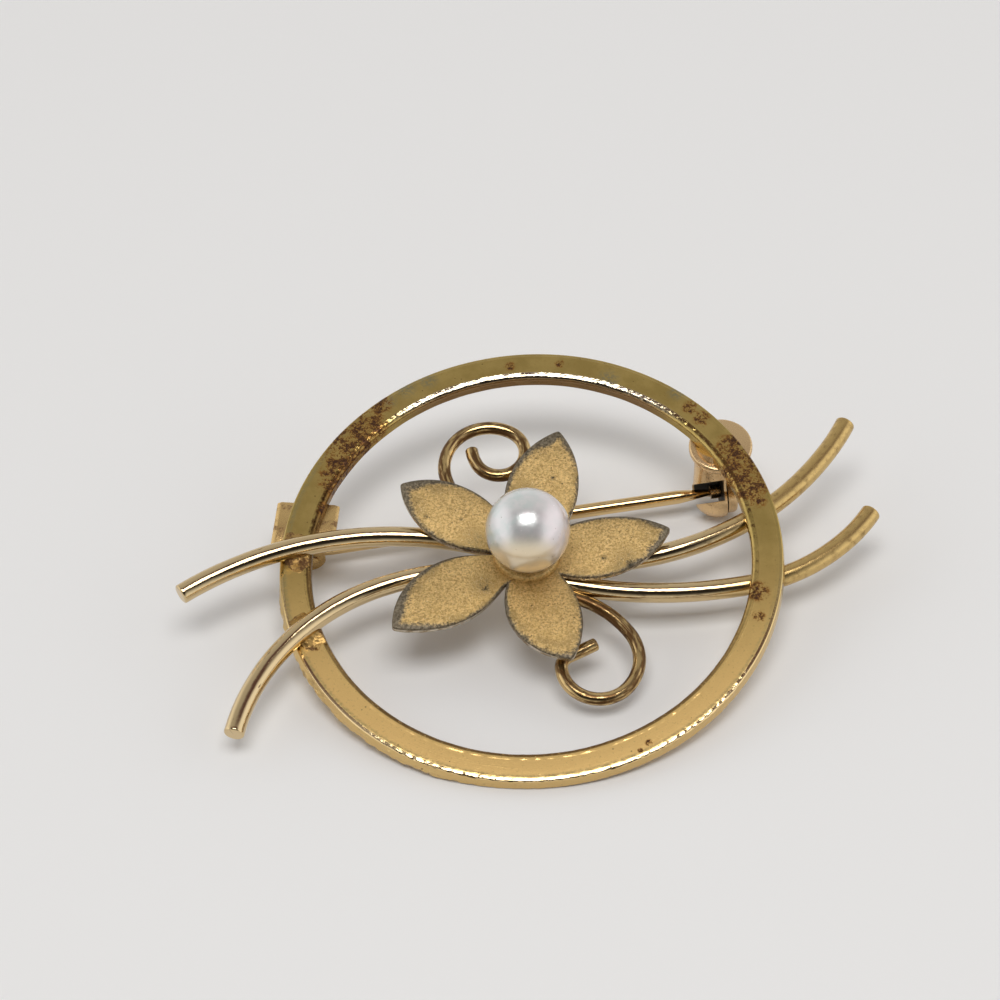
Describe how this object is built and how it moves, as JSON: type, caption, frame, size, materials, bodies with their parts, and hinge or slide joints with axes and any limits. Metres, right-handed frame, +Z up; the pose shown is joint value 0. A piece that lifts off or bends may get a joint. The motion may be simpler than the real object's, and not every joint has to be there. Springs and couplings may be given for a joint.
{
  "type": "brooch",
  "caption": "Round open ring brooch with two curved stems, coiled tendrils, a petalled flower with a pearl, and a hinged pin with a turning safety catch.",
  "frame": {"origin": "middle of the outer box at the surface the brooch lies on", "axes": "+X along the stems towards their right ends, +Y away from the viewer, +Z up; the brooch lies on its back, and the ring's front faces up, tilted about 12 degrees towards -Y"},
  "size_m": [0.0416, 0.0294, 0.0096],
  "materials": {
    "gold_filled_metal": "satin, worn, with brown tarnish",
    "flower_metal": "sandblasted, with worn grey borders",
    "findings_metal": "polished",
    "pearl": "pearl lustre"
  },
  "bodies": {
    "brooch": {"frame": "gold_filled_metal", "flower": "flower_metal", "pearl": "pearl", "hinge_rivet": "findings_metal"},
    "pin": {"pin_stem": "findings_metal"},
    "lock": {"catch_lock": "findings_metal"}
  },
  "joints": [
    {"name": "pin_hinge", "type": "hinge", "parent": "brooch", "child": "pin", "pos_m": [-0.01366, 0.00292, 0.0011], "axis": [-0.1922, 0.9607, 0.2004], "range_deg": [0, 90]},
    {"name": "catch_turn", "type": "hinge", "parent": "brooch", "child": "lock", "pos_m": [0.01117, 0.00779, 0.00159], "axis": [0.9811, 0.1923, 0.0191], "range_deg": [0, 120]}
  ]
}
